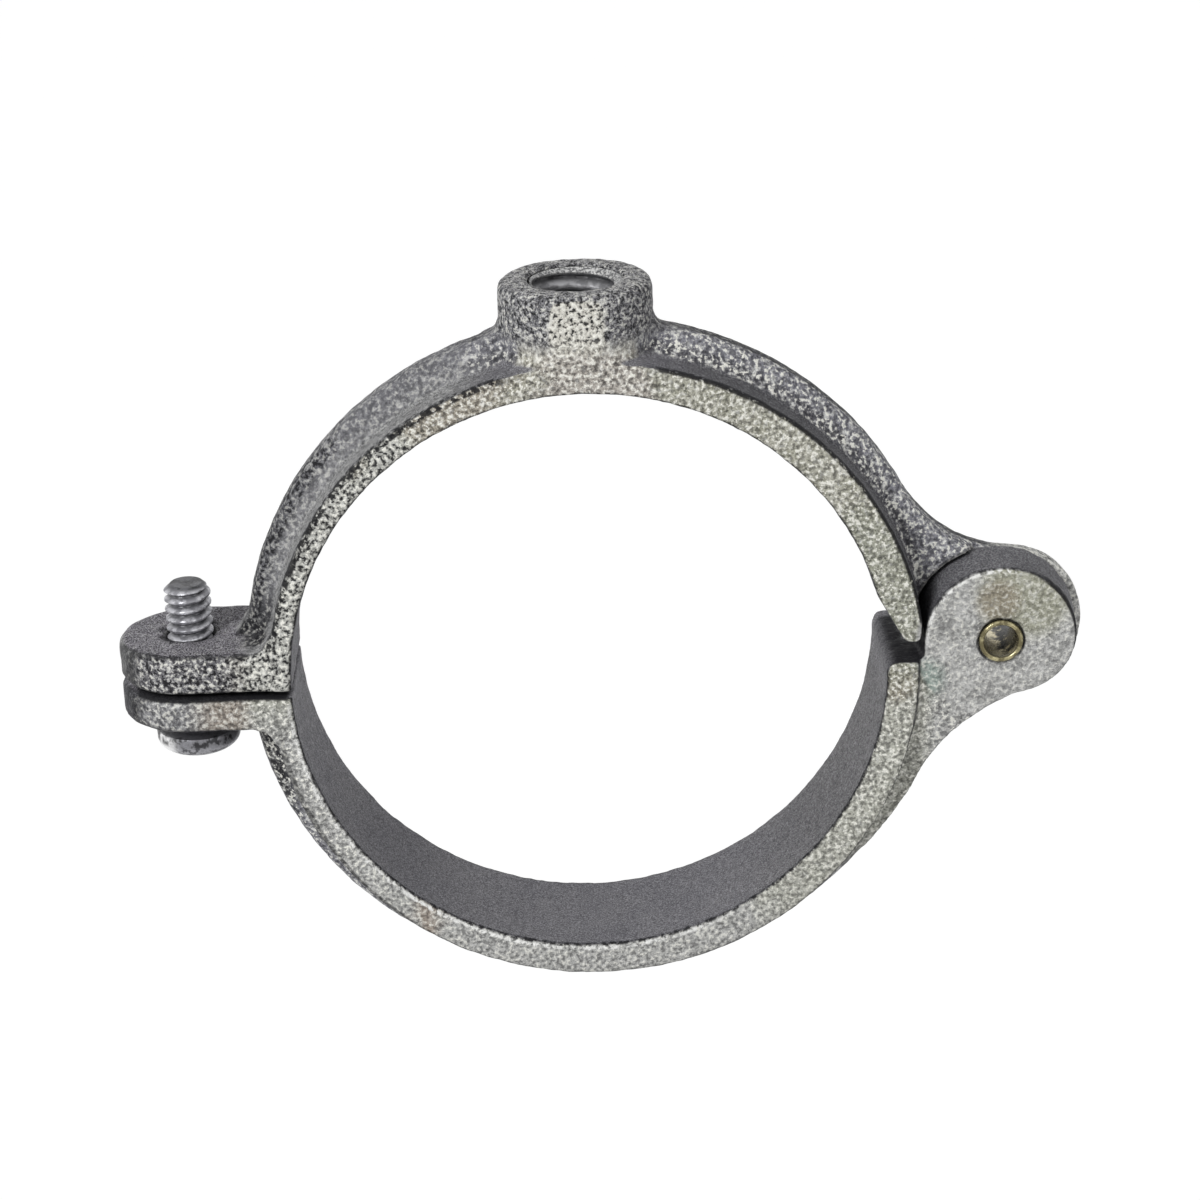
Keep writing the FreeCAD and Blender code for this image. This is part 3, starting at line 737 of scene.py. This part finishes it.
    def joint_painted_shade(self):
        """Painted shade where parts meet, broken into black pits: between the ears, round the rivet and the screw,
        beside the hinge and under the toe. Round the rivet it is partly a ring of pits in the coat."""
        between = self.times(self.span(self.z, -0.95, -0.1, 0.12), self.ramp(self.x, -30.6, -31.2),
                             self.ramp(self.x, -47.6, -46.2))
        round_rivet = self.times(self.span(self.from_pin, 2.3, 2.55, 0.12), self.disc,
                                 self.ramp(self.patch, 0.60, 0.45))
        from_screw = self.length(self.minus(self.x, SCREW_AXIS_X), self.depth)
        round_screw = self.times(self.ramp(from_screw, 3.9, 3.1), self.ear, self.ramp(self.patch, 0.56, 0.42))
        beside_hinge = self.times(self.ramp(self.from_pin, 9.3, 8.9), self.ramp(self.y, -0.2, -0.5),
                                  self.ramp(self.x, 36.5, 34.5))
        under_toe = self.times(self.ramp(self.away_from(33.6, -0.6), 3.6, 2.2), self.ramp(self.y, 6.0, 5.0))
        shaded = self.times(self.most(beside_hinge, under_toe), self.less(self.side))
        hinge_arc = self.times(self.span(self.from_pin, 7.6, 9.0, 0.1), self.ramp(self.y, -5.2, -5.8),
                               self.ramp(self.x, 45.0, 47.5), self.ramp(self.z, -1.0, 1.0))
        return self.most(between, round_rivet, round_screw, shaded, hinge_arc)

    def all_painted_shade(self):
        return self.most(self.edge_painted_shade(), self.joint_painted_shade())

    def done(self):
        self.set("Specular IOR Level", IRON_SPECULAR)
        rough = self.ramp(self.crumbs, 0.3, 0.7, 0.42, 0.65)
        relief = self.plus(self.sand, self.times(self.plus(self.grain, self.fine), 0.2))
        lift = self.times(relief, self.mix(self.most(self.rib, self.face, self.boss), 0.25, 1.0))
        return self.finish(IRON_METAL, rough, self.bump(lift, IRON_BUMP, 1.0))


class Steel(Nodes):
    """Plated or machined steel, dulled in patches, with grime and painted shade in its deep places, from one distance
    from its axis to another. The axis is the two places across it, by the names of their coordinates."""

    def __init__(self, name, colour, shade, axis, clean, grimy_and_shaded):
        super().__init__(name)
        self.cloud = self.noise(0.9, 3.0, 0.6)
        self.grain = self.noise(0.25, 3.0, 0.6)
        self.across = [self.minus(self.at(name), place) for name, place in axis.items()]
        self.deep = self.ramp(self.length(*self.across), clean, grimy_and_shaded)
        self.tone = self.mix(self.ramp(self.cloud, 0.40, 0.60), colour, shade)
        # Grime and painted shade in the deep places, such as thread roots and the bore
        self.lay(self.times(self.deep, self.ramp(self.cloud, 0.62, 0.40, 0.6, 0.95)), GRIME_AND_DEEP_SHADE)

    def done(self, metal, rough):
        return self.finish(metal, self.ramp(self.grain, 0.3, 0.7, rough - 0.08, rough + 0.12),
                           self.bump(self.grain, STEEL_BUMP, 0.5))


def cut_thread_material():
    """The rod's thread, with a mouth as rough as the boss's top, and grime and painted shade toward its thread's
    roots.
    """
    m = Steel("cut_thread", CUT_STEEL, CUT_STEEL_SHADE, {"X": 0.0, "Y": 0.0}, ROD_CREST_RADIUS + 0.2, ROD_ROOT_RADIUS)
    mouth = m.ramp(m.at("Z"), BOSS_TOP - 1.1, BOSS_TOP - 0.8)
    m.lay(mouth, m.mix(m.ramp(m.grain, 0.42, 0.58), MOUTH_DARK, MOUTH_LIGHT))
    return m.done(metal=0.3, rough=0.5)


def zinc_plate_material():
    """The closing screw, with a painted highlight on its head's left and painted shadow under the ear."""
    m = Steel("zinc_plate", SCREW_ZINC, SCREW_ZINC_SHADE, {"X": SCREW_AXIS_X, "Y": 0.0},
              SCREW_RADIUS - 0.15, SCREW_RADIUS - 0.65)
    z = m.at("Z")
    head = m.ramp(z, SCREW_BEARING + 0.1, SCREW_BEARING - 0.2)
    m.lay(m.times(head, m.ramp(m.cloud, 0.54, 0.42)), HEAD_SHADE)
    # Painted highlight on the head's left
    m.lay(m.times(head, m.ramp(m.across[0], -1.4, -3.0)), HEAD_LIGHT)
    # Painted shadow on the head's top and neck under the ear
    under_ear_shadow = m.times(m.span(z, SCREW_BEARING - 1.1, SCREW_BEARING + 0.1, 0.3), 0.9)
    m.lay(m.times(under_ear_shadow, m.ramp(m.cloud, 0.7, 0.35)), UNDER_EAR_SHADOW)
    return m.done(metal=0.7, rough=0.42)


def yellow_plate_material():
    """The hollow rivet, whose bore is lit on its left and dark on its right."""
    m = Steel("yellow_plate", YELLOW_ZINC, YELLOW_ZINC_SHADE, {"X": PIN_X, "Z": PIN_Z}, RIVET_BORE + 0.2, RIVET_BORE)
    dark_side = m.plus(m.across[0], m.times(m.across[1], 0.6), m.ramp(m.cloud, 0.35, 0.65, -0.7, 0.7))
    m.lay(m.deep, BORE_LIGHT)
    m.lay(m.times(m.ramp(dark_side, -1.3, 0.1), m.deep), BORE_DARK)
    return m.done(metal=0.8, rough=0.26)


def add_castings():
    upper = casting("upper_casting", "upper_half", [(ROD_ROOT_RADIUS + 0.1, 20.0, 60.0)])
    lower = casting("lower_casting", "lower_half", [])
    iron = CastIron().done()
    for piece, body in ((upper, "upper_half"), (lower, "lower_half")):
        keep_inside(piece)
        piece.data.materials.append(iron)
        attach(piece, body)


def add_rod_thread():
    rod_thread = add_object("rod_thread", mesh_from("rod_thread", *rod_thread_mesh()))
    shade_smooth(rod_thread, angle=40)
    rod_thread.data.materials.append(cut_thread_material())
    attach(rod_thread, "upper_half")


def slot_cutter():
    """A box across the screw's head, open below, as deep as the slot."""
    height = 8
    mesh = bpy.data.meshes.new("slot_cutter")
    shape = bmesh.new()
    middle = SCREW_BEARING - SCREW_HEAD_HEIGHT + SLOT_DEPTH - height / 2
    bmesh.ops.create_cube(shape, size=1.0, matrix=Matrix.Translation((0, 0, middle * MM)) @ Matrix.Diagonal(
        (12 * MM, SLOT_WIDTH * MM, height * MM, 1)))
    shape.to_mesh(mesh)
    shape.free()
    return add_object("slot_cutter", mesh)


def add_screw():
    screw = add_object("machine_screw", mesh_from("machine_screw", *screw_mesh()))
    cutter = slot_cutter()
    cut_away(screw, "slot", cutter)
    apply_modifiers(screw)
    bpy.data.objects.remove(cutter)
    screw.data.transform(Matrix.Translation((SCREW_AXIS_X * MM, 0, 0)))
    shade_smooth(screw, angle=38)
    screw.data.materials.clear()
    screw.data.materials.append(zinc_plate_material())
    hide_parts("closing_screw")
    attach(screw, "closing_screw")


def add_rivet():
    rivet = add_object("hollow_rivet", mesh_from("hollow_rivet", *rivet_mesh()))
    upright = Matrix.Rotation(math.radians(-90), 4, "X")
    rivet.data.transform(Matrix.Translation((PIN_X * MM, 0, PIN_Z * MM)) @ upright)
    shade_smooth(rivet, angle=50)
    rivet.data.materials.append(yellow_plate_material())
    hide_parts("hinge_rivet")
    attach(rivet, "lower_half")


def white_rays(tree):
    """1 for the rays that show the background itself, 0 for those that light the object."""
    path = tree.nodes.new("ShaderNodeLightPath")
    total = path.outputs[WHITE_RAYS[0]]
    for name in WHITE_RAYS[1:]:
        node = tree.nodes.new("ShaderNodeMath")
        node.operation = "MAXIMUM"
        tree.links.new(total, node.inputs[0])
        tree.links.new(path.outputs[name], node.inputs[1])
        total = node.outputs[0]
    return total


def set_world(diffuse_light):
    world = bpy.data.worlds.new("studio")
    bpy.context.scene.world = world
    world.use_nodes = True
    tree = world.node_tree
    background = tree.nodes["Background"]
    background.inputs["Color"].default_value = (1, 1, 1, 1)
    strength = tree.nodes.new("ShaderNodeMapRange")
    strength.inputs["To Min"].default_value = diffuse_light
    strength.inputs["To Max"].default_value = 1.0
    tree.links.new(white_rays(tree), strength.inputs["Value"])
    tree.links.new(strength.outputs[0], background.inputs["Strength"])


def add_floor():
    """A pale floor well below the hanger, which hangs from its rod."""
    corners = [(x * FLOOR_HALF, y * FLOOR_HALF, FLOOR_HEIGHT) for x, y in ((-1, -1), (1, -1), (1, 1), (-1, 1))]
    mesh = mesh_from("floor", corners, [(0, 1, 2, 3)])
    floor = add_object("floor", mesh)
    m = Nodes("pale_floor")
    m.set("Roughness", 0.9)
    m.set("Base Color", FLOOR_COLOUR)
    glow = m.tree.nodes.new("ShaderNodeEmission")
    glow.inputs["Strength"].default_value = FLOOR_GLOW
    blend = m.tree.nodes.new("ShaderNodeMixShader")
    m.feed(blend.inputs["Fac"], m.times(white_rays(m.tree), FLOOR_GLOW_SHARE))
    m.feed(blend.inputs[1], m.shader.outputs[0])
    m.feed(blend.inputs[2], glow.outputs[0])
    m.feed(m.output.inputs["Surface"], blend.outputs[0])
    mesh.materials.append(m.material)


def add_lamp(name, place, size, power):
    lamp = bpy.data.lights.new(name, "AREA")
    lamp.shape = "DISK"
    lamp.size = size * MM
    lamp.energy = power
    holder = add_object(name, lamp)
    holder.location = Vector(place) * MM
    holder.rotation_euler = (-Vector(place)).to_track_quat("-Z", "Y").to_euler()


def add_camera(azimuth, elevation, roll, distance, aside, up, lens):
    """A camera that looks at the pipe seat's centre from the photograph's place. Lengths in millimetres."""
    turn, lift, lean = (math.radians(angle) for angle in (azimuth, elevation, roll))
    back = Vector((math.sin(turn) * math.cos(lift), -math.cos(turn) * math.cos(lift), math.sin(lift)))
    level = (-back).cross(Vector((0, 0, 1))).normalized()
    over = level.cross(-back)
    right = level * math.cos(lean) + over * math.sin(lean)
    top = over * math.cos(lean) - level * math.sin(lean)
    camera = bpy.data.cameras.new("camera")
    camera.lens = lens
    camera.sensor_width = 36
    camera.clip_start = 0.01
    camera.clip_end = 20
    holder = add_object("camera", camera)
    axes = Matrix((right, top, back)).transposed().to_4x4()
    axes.translation = (back * distance + right * aside + top * up) * MM
    holder.matrix_world = axes
    bpy.context.scene.camera = holder


add_castings()
add_rod_thread()
add_screw()
add_rivet()
set_world(SKY_LIGHT)
add_floor()
add_lamp("key", (-420, -520, 440), size=260, power=4.0)
add_lamp("fill", (420, -420, 120), size=400, power=0.5)
add_camera(azimuth=-0.87, elevation=21.68, roll=-2.0, distance=324.98, aside=1.25, up=5.43, lens=93.23)
bpy.context.scene.view_settings.view_transform = "Standard"
